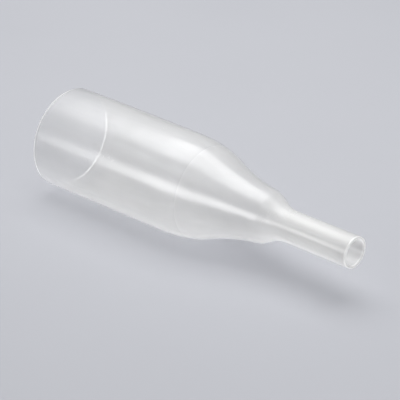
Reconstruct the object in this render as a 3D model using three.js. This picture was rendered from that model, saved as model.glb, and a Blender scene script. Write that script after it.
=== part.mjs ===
// Male external catheter (urinary sheath), unrolled and lying on its side.
// Millimetres, +Z up. The long axis runs along +X from the open mouth to the end of the outlet
// tube. z = 0 is the surface that the sleeve lies on, and the origin is midway between the ends.
// Inside this file every x is counted from the rim of the mouth.
import * as THREE from "three";
import { mergeVertices } from "three/addons/utils/BufferGeometryUtils.js";

// ---- driving dimensions, mm ----
const mouthBore = 32.0; // inside width of the sleeve at its rim, the size it is sold by
const sleeveWall = 0.4;
const sleeveLength = 59.4; // rim to the bonded edge of the bulb
const sleeveTurnIn = 13.4; // length at the end of the sleeve over which it rounds inwards
const sleeveTaper = 0.24; // loss of radius from rim to the start of the turn-in
const sleeveEndDrop = 1.23; // further loss of radius over the turn-in
const sleeveEndSlope = -0.24; // slope of the skin where the sleeve meets the bulb
const restSag = 0.5; // how far the soft sleeve flattens under its own weight

const liningWall = 0.2; // self-adhesive lining
const liningStart = 7.0; // bare margin inside the rim
const liningBond = 0.05; // clearance between lining and sleeve
const liningEndMargin = 1.0; // lining stops this far short of the bulb

const bulbWall = 0.5;
const bulbLength = 25.4; // bonded edge to the second shoulder
const bulbHip = 5.0; // bonded edge to the steepest point of the first shoulder
const bulbHipDrop = 1.55; // loss of radius there
const bulbHipSlope = -0.42;
const bulbWaistRadius = 8.68; // just before the second shoulder
const bulbWaistRun = 3.2; // how far before the bulb's end that waist is
const bulbWaistSlope = -0.13;
const bulbEndRadius = 7.72; // at the second shoulder
const bulbEndSlope = -0.53;

const neckLength = 9.2; // second shoulder to the straight tube
const neckThroatRun = 3.4; // to the middle of the neck's hollow curve
const neckThroatRadius = 5.78;
const neckThroatSlope = -0.42;

const tubeDiameter = 9.74;
const tubeBore = 8.2;
const tubeLength = 22.1;
const tubeEdge = 0.12; // broken outer edge of the cut end

// ---- how finely the curves are drawn ----
const sides = 48; // round the axis
const sleeveSteps = 4; // along the straight part
const turnSteps = 7; // along each curved stretch

// ---- places that follow from the sizes ----
const mouthRadius = mouthBore / 2 + sleeveWall;
const turnRadius = mouthRadius - sleeveTaper;
const sleeveEndRadius = turnRadius - sleeveEndDrop;
const bulbEnd = sleeveLength + bulbLength;
const neckEnd = bulbEnd + neckLength;
const tubeEnd = neckEnd + tubeLength;
const tubeRadius = tubeDiameter / 2;
const tubeWall = (tubeDiameter - tubeBore) / 2;
const axisHeight = mouthRadius - restSag;

// A smooth stretch of the outer skin between two stations, each {x, radius, slope}.
function stretch(from, to, steps) {
  const run = to.x - from.x;
  const points = [];
  for (let i = 0; i <= steps; i += 1) {
    const t = i / steps;
    const fromWeight = 2 * t ** 3 - 3 * t ** 2 + 1;
    const fromSlopeWeight = t ** 3 - 2 * t ** 2 + t;
    const toSlopeWeight = t ** 3 - t ** 2;
    points.push({
      x: from.x + run * t,
      radius:
        fromWeight * from.radius +
        (1 - fromWeight) * to.radius +
        run * (fromSlopeWeight * from.slope + toSlopeWeight * to.slope),
    });
  }
  return points;
}

// Several stretches end to end, with the shared stations kept once.
function outline(stations, steps) {
  const points = [];
  for (let i = 1; i < stations.length; i += 1) {
    points.push(...stretch(stations[i - 1], stations[i], steps[i - 1]).slice(i > 1 ? 1 : 0));
  }
  return points;
}

// The same curve moved inwards by a wall that may change along it.
function inset(points, wallAt) {
  return points.map(({ x, radius }) => ({ x, radius: radius - wallAt(x) }));
}

// A closed ring section turned about the long axis. The outer and inner skins are both laid flat
// where they would reach below their own floor, which gives the sleeve its resting strip.
function turned(outer, inner, outerFloor, innerFloor) {
  const section = [...outer, ...[...inner].reverse()];
  const loop = [...section, section[0]].map(({ x, radius }) => new THREE.Vector2(radius, x));
  const lathe = new THREE.LatheGeometry(loop, sides);
  const rows = loop.length;
  const place = lathe.getAttribute("position");
  for (let i = 0; i < place.count; i += 1) {
    const along = place.getY(i);
    const across = -place.getX(i);
    const up = place.getZ(i) + axisHeight;
    const isOuter = i % rows < outer.length || i % rows === rows - 1;
    place.setXYZ(i, along, across, Math.max(up, isOuter ? outerFloor : innerFloor));
  }
  lathe.deleteAttribute("normal");
  lathe.deleteAttribute("uv");
  const solid = mergeVertices(lathe, 1e-4);
  solid.computeVertexNormals();
  return solid;
}

function piece(name, geometry, colour, roughness) {
  const material = new THREE.MeshStandardMaterial({ color: colour, roughness, metalness: 0 });
  const mesh = new THREE.Mesh(geometry, material);
  mesh.name = name;
  return mesh;
}

// Stations that two pieces share.
const rim = { x: 0, radius: mouthRadius, slope: 0 };
const turn = { x: sleeveLength - sleeveTurnIn, radius: turnRadius, slope: -sleeveTaper / sleeveLength };
const sleeveEnd = { x: sleeveLength, radius: sleeveEndRadius, slope: sleeveEndSlope };
const secondShoulder = { x: bulbEnd, radius: bulbEndRadius, slope: bulbEndSlope };
const tubeStart = { x: neckEnd, radius: tubeRadius, slope: 0 };

function sleeveSkin() {
  return outline([rim, turn, sleeveEnd], [sleeveSteps, turnSteps]);
}

function sheathSleeve() {
  const outer = sleeveSkin();
  return turned(outer, inset(outer, () => sleeveWall), 0, sleeveWall);
}

function adhesiveLining() {
  const end = sleeveLength - liningEndMargin;
  const inside = sleeveSkin().filter(({ x }) => x > liningStart && x < end);
  const skin = [skinAt(liningStart), ...inside, skinAt(end)];
  const bond = sleeveWall + liningBond;
  const outer = inset(skin, () => bond);
  return turned(outer, inset(outer, () => liningWall), bond, bond + liningWall);
}

// The sleeve's outer skin at one place between two of its drawn points.
function skinAt(x) {
  const skin = sleeveSkin();
  const next = skin.findIndex((point) => point.x >= x);
  const [a, b] = [skin[next - 1], skin[next]];
  return { x, radius: a.radius + ((b.radius - a.radius) * (x - a.x)) / (b.x - a.x) };
}

// Wall of the bulb and neck: the bulb's own wall as far as the second shoulder, then thicker
// towards the tube.
function neckWallAt(x) {
  return bulbWall + ((tubeWall - bulbWall) * (x - bulbEnd)) / neckLength;
}

function kinkResistantBulb() {
  const hip = {
    x: sleeveLength + bulbHip,
    radius: sleeveEndRadius - bulbHipDrop,
    slope: bulbHipSlope,
  };
  const waist = { x: bulbEnd - bulbWaistRun, radius: bulbWaistRadius, slope: bulbWaistSlope };
  const outer = outline([sleeveEnd, hip, waist, secondShoulder], [3, turnSteps, 4]);
  return turned(outer, inset(outer, () => bulbWall), 0, bulbWall);
}

function flexNeck() {
  const throat = { x: bulbEnd + neckThroatRun, radius: neckThroatRadius, slope: neckThroatSlope };
  const outer = outline([secondShoulder, throat, tubeStart], [3, turnSteps]);
  return turned(outer, inset(outer, neckWallAt), 0, bulbWall);
}

function outletTube() {
  const outer = [
    tubeStart,
    { x: tubeEnd - tubeEdge, radius: tubeRadius },
    { x: tubeEnd, radius: tubeRadius - tubeEdge },
  ];
  const bore = tubeBore / 2;
  return turned(outer, [{ x: neckEnd, radius: bore }, { x: tubeEnd, radius: bore }], 0, 0);
}

const catheter = new THREE.Group();
catheter.position.x = -tubeEnd / 2;
catheter.add(
  piece("sheath_sleeve", sheathSleeve(), 0xdcdde0, 0.42),
  piece("adhesive_lining", adhesiveLining(), 0xe4e2dc, 0.6),
  piece("kink_resistant_bulb", kinkResistantBulb(), 0xd3d4d6, 0.38),
  piece("flex_neck", flexNeck(), 0xd3d4d4, 0.38),
  piece("outlet_tube", outletTube(), 0xd8d9d4, 0.35),
);

export default catheter;
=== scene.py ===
import math

import bpy
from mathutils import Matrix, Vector


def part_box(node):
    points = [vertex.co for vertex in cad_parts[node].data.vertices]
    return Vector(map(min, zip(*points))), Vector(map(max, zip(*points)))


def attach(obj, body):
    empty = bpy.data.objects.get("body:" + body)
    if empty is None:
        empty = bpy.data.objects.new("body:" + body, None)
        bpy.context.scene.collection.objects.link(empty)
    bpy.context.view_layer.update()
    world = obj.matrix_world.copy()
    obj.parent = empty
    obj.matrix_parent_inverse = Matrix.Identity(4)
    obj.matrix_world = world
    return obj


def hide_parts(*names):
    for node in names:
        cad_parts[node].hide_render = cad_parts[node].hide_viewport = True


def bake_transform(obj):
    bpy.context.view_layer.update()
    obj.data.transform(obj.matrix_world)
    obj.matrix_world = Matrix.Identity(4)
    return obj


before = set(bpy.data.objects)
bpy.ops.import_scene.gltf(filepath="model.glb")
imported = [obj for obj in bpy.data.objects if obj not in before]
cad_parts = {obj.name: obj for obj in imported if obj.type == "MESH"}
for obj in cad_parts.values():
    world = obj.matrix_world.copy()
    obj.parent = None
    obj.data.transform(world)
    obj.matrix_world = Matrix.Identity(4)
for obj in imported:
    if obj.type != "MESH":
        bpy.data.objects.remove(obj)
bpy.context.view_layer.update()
print("frame loaded:", sorted(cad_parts))

mm = 0.001
sheathBody = "sheath"
smoothAngle = math.radians(35)  # edges sharper than this stay sharp
cutRimReach = 0.3 * mm  # points this near a cut end belong to its rim
wallReach = 1.0 * mm  # faces this near a bonded end may be its end face
endFacing = 0.7  # a face whose normal leans this far along X is an end face


def ringsOf(node):  # outer radius of a CAD piece at each place where it has a ring of points
    widest = {}
    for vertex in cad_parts[node].data.vertices:
        place = round(vertex.co.x, 6)
        widest[place] = max(widest.get(place, 0.0), abs(vertex.co.y))
    return sorted(widest.items())


def smoothOutline(rings):  # radius at any x, by cubic curves through the rings
    xs = [x for x, radius in rings]
    radii = [radius for x, radius in rings]
    slopes = []
    for i in range(len(rings)):
        before, after = max(i - 1, 0), min(i + 1, len(rings) - 1)
        slopes.append((radii[after] - radii[before]) / (xs[after] - xs[before]))

    def radiusAt(x):
        x = min(max(x, xs[0]), xs[-1])
        i = max(k for k in range(len(xs) - 1) if xs[k] <= x or k == 0)
        run = xs[i + 1] - xs[i]
        t = (x - xs[i]) / run
        h = 2 * t ** 3 - 3 * t ** 2 + 1
        return (h * radii[i] + (1 - h) * radii[i + 1]
                + run * ((t ** 3 - 2 * t ** 2 + t) * slopes[i] + (t ** 3 - t ** 2) * slopes[i + 1]))

    return radiusAt


def joinRings(*nodes):
    rings = {}
    for node in nodes:
        for x, radius in ringsOf(node):
            rings[x] = max(rings.get(x, 0.0), radius)
    return sorted(rings.items())


sleeveLow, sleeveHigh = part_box("sheath_sleeve")
liningLow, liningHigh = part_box("adhesive_lining")
bulbLow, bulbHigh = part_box("kink_resistant_bulb")
neckLow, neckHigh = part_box("flex_neck")
tubeLow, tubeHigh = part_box("outlet_tube")
axisHeight = (tubeLow.z + tubeHigh.z) / 2
mouthX, ringX, shoulderX = sleeveLow.x, bulbLow.x, neckLow.x
tubeX, endX = tubeLow.x, tubeHigh.x
skinRadius = smoothOutline(joinRings("sheath_sleeve", "kink_resistant_bulb", "flex_neck"))
liningRadius = smoothOutline(ringsOf("adhesive_lining"))


def deselectAll():
    if bpy.context.object and bpy.context.object.mode != "OBJECT":
        bpy.ops.object.mode_set(mode="OBJECT")
    bpy.ops.object.select_all(action="DESELECT")


def stepsBetween(start, end, spacing):
    count = max(1, round((end - start) / spacing))
    return [start + (end - start) * i / count for i in range(count + 1)]


def drawTube(name, places, radii, around):  # a circle pulled along X and scaled at each place
    deselectAll()
    bpy.ops.mesh.primitive_circle_add(
        vertices=around, radius=radii[0], location=(places[0], 0, axisHeight), rotation=(0, math.pi / 2, 0))
    piece = bpy.context.object
    piece.name = name
    piece.data.name = name
    bpy.ops.object.transform_apply(location=True, rotation=True, scale=True)
    bpy.ops.object.mode_set(mode="EDIT")
    bpy.ops.mesh.select_all(action="SELECT")
    for i in range(1, len(places)):
        bpy.ops.mesh.extrude_region_move(
            TRANSFORM_OT_translate={"value": (places[i] - places[i - 1], 0, 0)})
        k = radii[i] / radii[i - 1]
        bpy.ops.transform.resize(value=(1, k, k), center_override=(places[i], 0, axisHeight))
    bpy.ops.object.mode_set(mode="OBJECT")
    pointOutwards(piece)
    return piece


def pointOutwards(piece):  # an open tube's faces look away from its axis
    face = piece.data.polygons[0]
    away = face.center - Vector((face.center.x, 0, axisHeight))
    if face.normal.dot(away) < 0:
        bpy.ops.object.mode_set(mode="EDIT")
        bpy.ops.mesh.select_all(action="SELECT")
        bpy.ops.mesh.flip_normals()
        bpy.ops.object.mode_set(mode="OBJECT")


def layFlat(piece, floor):  # presses what would reach below the floor flat onto it
    bpy.ops.object.mode_set(mode="EDIT")
    bpy.ops.mesh.select_mode(type="VERT")
    bpy.ops.mesh.select_all(action="DESELECT")
    bpy.ops.object.mode_set(mode="OBJECT")
    low = [vertex for vertex in piece.data.vertices if vertex.co.z < floor]
    for vertex in low:
        vertex.select = True
    if low:
        bpy.ops.object.mode_set(mode="EDIT")
        bpy.ops.transform.resize(value=(1, 1, 0), center_override=(0, 0, floor))
        bpy.ops.object.mode_set(mode="OBJECT")


def giveWall(piece, thickness, thinShare=None, thinEnd=None, thickEnd=None):
    wall = piece.modifiers.new("wall", "SOLIDIFY")
    wall.thickness = thickness
    wall.offset = -1
    wall.use_even_offset = True
    if thinShare is not None:  # the wall grows from a share of its thickness to all of it
        group = piece.vertex_groups.new(name="wallShare")
        for vertex in piece.data.vertices:
            t = min(max((vertex.co.x - thinEnd) / (thickEnd - thinEnd), 0), 1)
            group.add([vertex.index], thinShare + (1 - thinShare) * t, "REPLACE")
        wall.vertex_group = group.name
    bpy.ops.object.modifier_apply(modifier=wall.name)
    piece.vertex_groups.clear()


def easeEdges(piece, width, cutX):  # the cut rim loses its sharp corners
    group = piece.vertex_groups.new(name="cutRim")
    atCut = [vertex.index for vertex in piece.data.vertices if abs(vertex.co.x - cutX) < cutRimReach]
    group.add(atCut, 1, "REPLACE")
    ease = piece.modifiers.new("ease", "BEVEL")
    ease.width = width
    ease.segments = 2
    ease.limit_method = "VGROUP"
    ease.vertex_group = group.name
    bpy.ops.object.modifier_apply(modifier=ease.name)
    piece.vertex_groups.clear()
    bpy.ops.object.shade_smooth_by_angle(angle=smoothAngle)


class Value:  # wraps a socket, so that shader sums read as sums
    def __init__(self, tree, socket):
        self.tree = tree
        self.socket = socket

    def sum(self, operation, other):
        return self.tree.node("ShaderNodeMath", {"operation": operation}, self, other)

    def __add__(self, other):
        return self.sum("ADD", other)

    def __sub__(self, other):
        return self.sum("SUBTRACT", other)

    def __rsub__(self, other):
        return self.tree.node("ShaderNodeMath", {"operation": "SUBTRACT"}, other, self)

    def __mul__(self, other):
        return self.sum("MULTIPLY", other)

    def __pow__(self, other):
        return self.sum("POWER", other)

    __radd__ = __add__
    __rmul__ = __mul__


class Tree:  # a material's nodes
    def __init__(self, name):
        self.material = bpy.data.materials.new(name)
        self.material.use_nodes = True
        self.nodes = self.material.node_tree.nodes
        self.links = self.material.node_tree.links
        self.nodes.clear()
        self.output = self.nodes.new("ShaderNodeOutputMaterial")

    def feed(self, socket, value):
        if isinstance(value, Value):
            self.links.new(value.socket, socket)
        elif value is not None:
            socket.default_value = value

    def node(self, kind, settings, *values, out=0, **named):
        made = self.nodes.new(kind)
        for key, setting in settings.items():
            setattr(made, key, setting)
        for i, value in enumerate(values):
            self.feed(made.inputs[i], value)
        for key, value in named.items():
            self.feed(made.inputs[key.replace("_", " ")], value)
        return Value(self, made.outputs[out])

    def finish(self, shader):
        self.links.new(shader.socket, self.output.inputs["Surface"])
        return self.material


def scaled(tree, vector, by):
    return tree.node("ShaderNodeVectorMath", {"operation": "MULTIPLY"}, vector, by)


def noise(tree, vector, scale, detail=2.0, roughness=0.5, distortion=0.0):
    return tree.node("ShaderNodeTexNoise", {}, Vector=vector, Scale=scale, Detail=detail,
                     Roughness=roughness, Distortion=distortion)


def mixColour(tree, share, first, second):
    made = tree.nodes.new("ShaderNodeMix")
    made.data_type = "RGBA"
    tree.feed(made.inputs["Factor"], share)
    tree.feed(made.inputs[6], first)
    tree.feed(made.inputs[7], second)
    return Value(tree, made.outputs[2])


def smoothBand(tree, value, low, high):  # 0 below low, 1 above high
    return tree.node("ShaderNodeMapRange", {"interpolation_type": "SMOOTHSTEP"},
                     Value=value, From_Min=low, From_Max=high)


# Milky silicone: a satin skin, light that comes through the wall from behind, and what shows through it.
def silicone(name, look):
    tree = Tree(name)
    place = tree.node("ShaderNodeTexCoord", {}, out=3)
    along = tree.node("ShaderNodeSeparateXYZ", {}, place)
    local = tree.node("ShaderNodeVectorMath", {"operation": "SUBTRACT"}, place, (0, 0, axisHeight))
    clouds = noise(tree, scaled(tree, local, look["cloudStretch"]), look["cloudScale"],
                   distortion=look["cloudDistortion"])
    flow = noise(tree, scaled(tree, local, look["flowStretch"]), look["flowScale"])
    grain = noise(tree, local, look["grainScale"], look["grainDetail"], look["grainRoughness"])
    cloudy = smoothBand(tree, clouds, *look["cloudBand"])
    streaky = smoothBand(tree, flow, *look["flowBand"])
    thick = smoothBand(tree, along, look["thickFrom"], look["thickTo"])
    cut = 1 - smoothBand(tree, along, mouthX + look["rimFrom"], mouthX + look["rimTo"])
    cut = cut + smoothBand(tree, along, endX - look["rimTo"], endX - look["rimFrom"])
    milky = cloudy * look["cloudTint"] + streaky * look["flowTint"]
    tint = mixColour(tree, milky, look["clearColour"], look["milkColour"])
    tint = mixColour(tree, thick, tint, look["thickColour"])
    tint = mixColour(tree, cut, tint, look["rimColour"])
    rough = look["roughness"] + (cloudy - 0.5) * look["roughSpread"] + (grain - 0.5) * look["roughGrain"]
    relief = grain * look["grainRelief"] + streaky * look["flowRelief"] + cloudy * look["cloudRelief"]
    bump = tree.node("ShaderNodeBump", {}, Strength=look["bump"], Distance=look["bumpDepth"], Height=relief)
    normal = tree.node("ShaderNodeNewGeometry", {}, out=1)
    outwards = tree.node("ShaderNodeVectorMath", {"operation": "DOT_PRODUCT"},
                         scaled(tree, local, (0, 1, 1)), normal, out=1)
    boreSide = tree.node("ShaderNodeMath", {"operation": "LESS_THAN"}, outwards, 0.0)
    # painted glow at the cut rims: emission colour, not light from any lamp
    paintedRimGlow = mixColour(tree, boreSide, look["rimGlowPaint"], look["boreRimGlowPaint"])
    paintedRimGlow = mixColour(tree, cut, (0, 0, 0, 1), paintedRimGlow)  # painted glow: the cut edges emit light of their own, brighter on the bore side, so the rim line shows
    skin = tree.node("ShaderNodeBsdfPrincipled", {}, Base_Color=tint, Roughness=rough, Normal=bump,
                     Emission_Color=paintedRimGlow, Emission_Strength=1.0,
                     IOR=look["ior"], Specular_IOR_Level=look["specular"],
                     Sheen_Weight=look["sheen"], Sheen_Roughness=look["sheenRoughness"])
    glow = tree.node("ShaderNodeBsdfTranslucent", {}, Color=look["glowColour"])
    body = tree.node("ShaderNodeMixShader", {}, look["glow"], skin, glow)
    facing = tree.node("ShaderNodeLayerWeight", {}, Blend=0.5, out=1)
    solid = look["opacity"] + (cloudy - 0.5) * look["cloudOpacity"] + (streaky - 0.5) * look["flowOpacity"]
    solid = solid + thick * (look["thickOpacity"] - look["opacity"])
    solid = solid + (1 - solid) * (facing ** look["edgePower"]) * look["edgeOpacity"]
    solid = solid + (1 - solid) * cut * look["rimOpacity"]
    clear = tree.node("ShaderNodeBsdfTransparent", {}, Color=look["throughColour"])
    wall = tree.node("ShaderNodeMixShader", {}, solid, clear, body)
    shine = tree.node("ShaderNodeBsdfGlossy", {}, Color=(1, 1, 1, 1), Roughness=rough, Normal=bump)
    mirror = tree.node("ShaderNodeFresnel", {}, IOR=look["ior"])
    gloss = look["gloss"] + thick * (look["thickGloss"] - look["gloss"])
    surface = tree.node("ShaderNodeMixShader", {}, mirror * gloss, wall, shine)
    lampRay = tree.node("ShaderNodeLightPath", {}, out=1)
    lit = tree.node("ShaderNodeMixShader", {}, lampRay * look["lampThrough"], surface, clear)
    leaving = tree.node("ShaderNodeNewGeometry", {}, out=6)  # each wall counts once, where it is entered
    unseen = tree.node("ShaderNodeBsdfTransparent", {}, Color=(1, 1, 1, 1))
    return tree.finish(tree.node("ShaderNodeMixShader", {}, leaving, lit, unseen))


def bondFace():  # where two stretches of one moulding meet, nothing shows
    tree = Tree("bondFace")
    return tree.finish(tree.node("ShaderNodeBsdfTransparent", {}, Color=(1, 1, 1, 1)))


bond = bondFace()


silicones = {  # what every stretch of the moulding shares
    "ior": 1.5, "specular": 0.2, "sheen": 0.6, "sheenRoughness": 0.35,
    "gloss": 1.05, "thickGloss": 0.45, "roughSpread": 0.05, "roughGrain": 0.04,
    "glow": 0.6, "glowColour": (0.97, 0.97, 0.97, 1),
    "lampThrough": 0.72, "throughColour": (0.90, 0.90, 0.905, 1),
    "cloudStretch": (0.55, 1, 1), "cloudBand": (0.2, 0.8), "cloudDistortion": 0.2,
    "flowStretch": (0.05, 1, 1), "flowBand": (0.25, 0.75), "flowOpacity": 0.015,
    "grainScale": 1500, "grainDetail": 3.0, "grainRoughness": 0.6,
    "cloudTint": 0.7, "flowTint": 0.3,
    "bump": 0.06, "bumpDepth": 0.05 * mm, "grainRelief": 0.7, "flowRelief": 0.1, "cloudRelief": 0.2,
    "edgePower": 3.0, "edgeOpacity": 0.4,
    "thickFrom": shoulderX - 3 * mm, "thickTo": tubeX - 2 * mm, "thickOpacity": 0.8,
    "thickColour": (0.90, 0.90, 0.885, 1),
    "rimFrom": 0.25 * mm, "rimTo": 0.7 * mm, "rimOpacity": 0.95, "rimColour": (0.98, 0.98, 0.98, 1),
    # painted glow: emission at the cut rims, outer face and bore side
    "rimGlowPaint": (0.5, 0.5, 0.5, 1), "boreRimGlowPaint": (2.4, 2.4, 2.4, 1),
}


def dress(piece, material, bondedAt=()):  # bondedAt: where the piece's end faces a neighbour
    piece.data.materials.clear()
    piece.data.materials.append(material)
    if not bondedAt:
        return
    piece.data.materials.append(bond)
    for face in piece.data.polygons:
        sideways = abs(face.normal.x) > endFacing
        if sideways and any(abs(face.center.x - x) < wallReach for x in bondedAt):
            face.material_index = 1


sleeveLook = silicones | {
    "around": 144, "spacing": 1.2 * mm, "wall": 0.4 * mm, "ease": 0.09 * mm,
    "clearColour": (0.89, 0.895, 0.90, 1), "milkColour": (0.93, 0.93, 0.935, 1),
    "cloudScale": 95, "flowScale": 500, "roughness": 0.25,
    "opacity": 0.46, "cloudOpacity": 0.06,
}


def makeSleeve(look):
    places = stepsBetween(mouthX, ringX, look["spacing"])
    piece = drawTube("sheathSleeve", places, [skinRadius(x) for x in places], look["around"])
    layFlat(piece, 0.0)
    giveWall(piece, look["wall"])
    easeEdges(piece, look["ease"], mouthX)
    dress(piece, silicone("sleeveSilicone", look), [ringX])
    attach(piece, sheathBody)
    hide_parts("sheath_sleeve")
    return piece


makeSleeve(sleeveLook)
print("sleeve made")


liningLook = silicones | {
    "around": 144, "spacing": 1.2 * mm, "wall": 0.2 * mm,
    "clearColour": (0.82, 0.815, 0.80, 1), "milkColour": (0.86, 0.855, 0.84, 1),
    "cloudScale": 160, "flowScale": 400, "roughness": 0.42,
    "opacity": 0.03, "cloudOpacity": 0.02, "edgeOpacity": 0.08, "gloss": 0.3,
    "lampThrough": 0.95, "throughColour": (0.99, 0.99, 0.985, 1),
}


def makeLining(look):
    places = stepsBetween(liningLow.x, liningHigh.x, look["spacing"])
    piece = drawTube("adhesiveLining", places, [liningRadius(x) for x in places], look["around"])
    layFlat(piece, liningLow.z)
    giveWall(piece, look["wall"])
    bpy.ops.object.shade_smooth_by_angle(angle=smoothAngle)
    dress(piece, silicone("skinAdhesive", look))
    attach(piece, sheathBody)
    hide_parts("adhesive_lining")
    return piece


makeLining(liningLook)
print("lining made")


bulbLook = silicones | {
    "around": 144, "spacing": 0.7 * mm, "wall": 0.5 * mm,
    "clearColour": (0.80, 0.805, 0.81, 1), "milkColour": (0.88, 0.88, 0.88, 1),
    "cloudScale": 85, "flowScale": 500, "roughness": 0.25,
    "opacity": 0.60, "cloudOpacity": 0.08, "glowColour": (0.90, 0.90, 0.90, 1),
}


def makeBulb(look):
    places = stepsBetween(ringX, shoulderX, look["spacing"])
    piece = drawTube("kinkResistantBulb", places, [skinRadius(x) for x in places], look["around"])
    giveWall(piece, look["wall"])
    bpy.ops.object.shade_smooth_by_angle(angle=smoothAngle)
    dress(piece, silicone("bulbSilicone", look), [ringX, shoulderX])
    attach(piece, sheathBody)
    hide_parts("kink_resistant_bulb")
    return piece


makeBulb(bulbLook)
print("bulb made")


tubeLook = bulbLook | {
    # painted glow at the outlet's cut rim, kept faint
    "rimGlowPaint": (0.3, 0.3, 0.3, 1), "boreRimGlowPaint": (0.2, 0.2, 0.2, 1),
    "around": 96, "spacing": 0.5 * mm, "thinWall": 0.5 * mm, "wall": 0.77 * mm, "ease": 0.1 * mm,
}


def makeOutlet(look):
    places = stepsBetween(shoulderX, tubeX, look["spacing"])
    places = places + stepsBetween(tubeX, endX, 2 * look["spacing"])[1:]
    piece = drawTube("neckAndOutletTube", places, [skinRadius(x) for x in places], look["around"])
    giveWall(piece, look["wall"], look["thinWall"] / look["wall"], shoulderX, tubeX)
    easeEdges(piece, look["ease"], endX)
    dress(piece, silicone("tubeSilicone", look), [shoulderX])
    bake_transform(piece)
    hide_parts("flex_neck", "outlet_tube")
    return piece


makeOutlet(tubeLook)
print("neck and outlet made")


floorLook = {
    "size": 6.0, "drop": 0.05 * mm, "mottleScale": 14, "mottleDetail": 3.0,
    "colour": (0.35, 0.355, 0.38, 1), "shade": (0.335, 0.34, 0.365, 1), "bounce": (0.2, 0.2, 0.205, 1),
    "roughness": 0.85, "specular": 0.2,
}


def makeFloor(look):
    deselectAll()
    bpy.ops.mesh.primitive_plane_add(size=look["size"], location=(0, 0, -look["drop"]))
    floor = bpy.context.object
    floor.name = "floor"
    bpy.ops.object.transform_apply(location=True, rotation=True, scale=True)
    tree = Tree("floorPaint")
    place = tree.node("ShaderNodeTexCoord", {}, out=3)
    mottle = noise(tree, place, look["mottleScale"], look["mottleDetail"])
    colour = mixColour(tree, mottle, look["shade"], look["colour"])
    seen = tree.node("ShaderNodeLightPath", {}) + tree.node("ShaderNodeLightPath", {}, out=3)
    colour = mixColour(tree, seen, look["bounce"], colour)  # the pale ground throws little light upwards
    paint = tree.node("ShaderNodeBsdfPrincipled", {}, Base_Color=colour, Roughness=look["roughness"],
                      Specular_IOR_Level=look["specular"])
    floor.data.materials.append(tree.finish(paint))


makeFloor(floorLook)
print("floor made")


overheadSoftbox = {
    "watts": 5.9, "width": 0.68, "length": 0.52, "place": (-0.13, 0.10, 0.56), "aim": (-0.13, 0.10, 0),
}
endFill = {"watts": 1.3, "width": 0.30, "length": 0.25, "place": (0.45, -0.12, 0.52), "aim": (0, 0, 0.02)}
frontStrip = {  # draws the soft streak along the front and lights nothing else
    "watts": 4.0, "width": 0.78, "length": 0.19, "place": (-0.07, -0.50, 0.14), "aim": (-0.07, 0, 0.14),
    "onlyReflected": True,
}
roomLight = {"colour": (0.95, 0.97, 1.0, 1), "strength": 0.2}


def makeLamp(name, lampLook):
    data = bpy.data.lights.new(name, "AREA")
    data.shape = "RECTANGLE"
    data.size = lampLook["width"]
    data.size_y = lampLook["length"]
    data.energy = lampLook["watts"]
    lamp = bpy.data.objects.new(name, data)
    bpy.context.scene.collection.objects.link(lamp)
    lamp.location = lampLook["place"]
    towards = Vector(lampLook["aim"]) - Vector(lampLook["place"])
    lamp.rotation_euler = towards.to_track_quat("-Z", "Y").to_euler()
    lamp.visible_camera = False
    if lampLook.get("onlyReflected"):
        lamp.visible_diffuse = False
        lamp.visible_transmission = False


def makeWorld(look):
    world = bpy.data.worlds.new("studio")
    bpy.context.scene.world = world
    world.use_nodes = True
    background = world.node_tree.nodes["Background"]
    background.inputs["Color"].default_value = look["colour"]
    background.inputs["Strength"].default_value = look["strength"]


makeLamp("overheadSoftbox", overheadSoftbox)
makeLamp("endFill", endFill)
makeLamp("frontStrip", frontStrip)
makeWorld(roomLight)
print("lamps made")


cameraView = {
    "azimuth": 42.3, "elevation": 26.87, "distance": 0.585, "lens": 162.6,
    "aim": (-0.02205, 0.0224, -0.0030), "sensor": 36.0, "nearest": 0.01,
}


def makeCamera(view):
    data = bpy.data.cameras.new("camera")
    data.lens = view["lens"]
    data.sensor_width = view["sensor"]
    data.clip_start = view["nearest"]
    camera = bpy.data.objects.new("camera", data)
    bpy.context.scene.collection.objects.link(camera)
    turn, lift = math.radians(view["azimuth"]), math.radians(view["elevation"])
    towards = Vector((math.sin(turn) * math.cos(lift), -math.cos(turn) * math.cos(lift), math.sin(lift)))
    camera.location = Vector(view["aim"]) + towards * view["distance"]
    camera.rotation_euler = (-towards).to_track_quat("-Z", "Y").to_euler()
    bpy.context.scene.camera = camera


makeCamera(cameraView)
print("camera made")
bpy.context.scene.view_settings.view_transform = "Standard"
bpy.context.scene.cycles.transparent_max_bounces = 24  # a line of sight can cross a dozen thin walls
